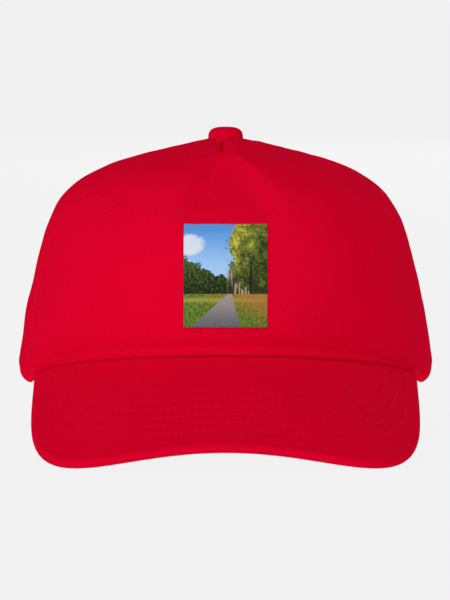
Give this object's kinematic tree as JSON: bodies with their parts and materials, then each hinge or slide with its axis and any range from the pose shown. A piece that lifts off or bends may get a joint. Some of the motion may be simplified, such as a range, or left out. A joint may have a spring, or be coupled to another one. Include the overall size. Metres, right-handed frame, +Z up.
{
  "type": "five-panel cap",
  "caption": "Cloth cap with a stiffened front panel, a curved visor, a covered top button and a rear strap with a flip-lid buckle.",
  "frame": {"origin": "centre of the bounding box's footprint, on the table that the cap stands on with its visor corners and the rear of its rim", "axes": "+X towards the cap's right side as seen from in front, +Y towards the back, so the visor points to -Y, +Z up to the button"},
  "size_m": [0.1874, 0.2697, 0.1364],
  "materials": {
    "crown_twill": "brushed cotton twill, bright red",
    "visor_twill": "brushed cotton twill, bright red",
    "strap_twill": "folded cotton twill with edge stitching, bright red",
    "stiffener": "stiff open-weave buckram, off-white",
    "tape": "folded cotton tape, red",
    "sweatband": "plain-weave cotton, red",
    "label": "blank woven satin tape, white",
    "thread": "close satin stitching in red thread",
    "print": null,
    "board": "white polyethylene sheet",
    "button_metal": "tinned steel",
    "buckle_metal": "brushed nickel-plated steel"
  },
  "bodies": {
    "crown": {"front_panel": "crown_twill", "left_side_panel": "crown_twill", "right_side_panel": "crown_twill", "left_back_panel": "crown_twill", "right_back_panel": "crown_twill", "front_stiffener": "stiffener", "left_front_seam_tape": "tape", "right_front_seam_tape": "tape", "left_rear_seam_tape": "tape", "right_rear_seam_tape": "tape", "back_seam_tape": "tape", "back_opening_binding": "tape", "sweatband": "sweatband", "inside_label": "label", "vent_eyelets": "thread", "button_cover": "crown_twill", "button_shell": "button_metal", "button_rivet": "button_metal", "button_washer": "button_metal", "visor_board": "board", "visor_top_cover": "visor_twill", "visor_under_cover": "visor_twill", "print_film": "print", "buckle_strap": "strap_twill", "buckle_frame": "buckle_metal", "buckle_pin": "buckle_metal"},
    "strap": {"adjuster_strap": "strap_twill"},
    "lid": {"buckle_lid": "buckle_metal"}
  },
  "joints": [
    {"name": "strap_adjust", "type": "hinge", "parent": "crown", "child": "strap", "pos_m": [0, 0.04528, 0.0105], "axis": [0, 0, 1], "range_deg": [-8, 9]},
    {"name": "lid_flip", "type": "hinge", "parent": "crown", "child": "lid", "pos_m": [-0.01484, 0.13304, 0.0105], "axis": [0, 0, -1], "range_deg": [0, 110]}
  ]
}
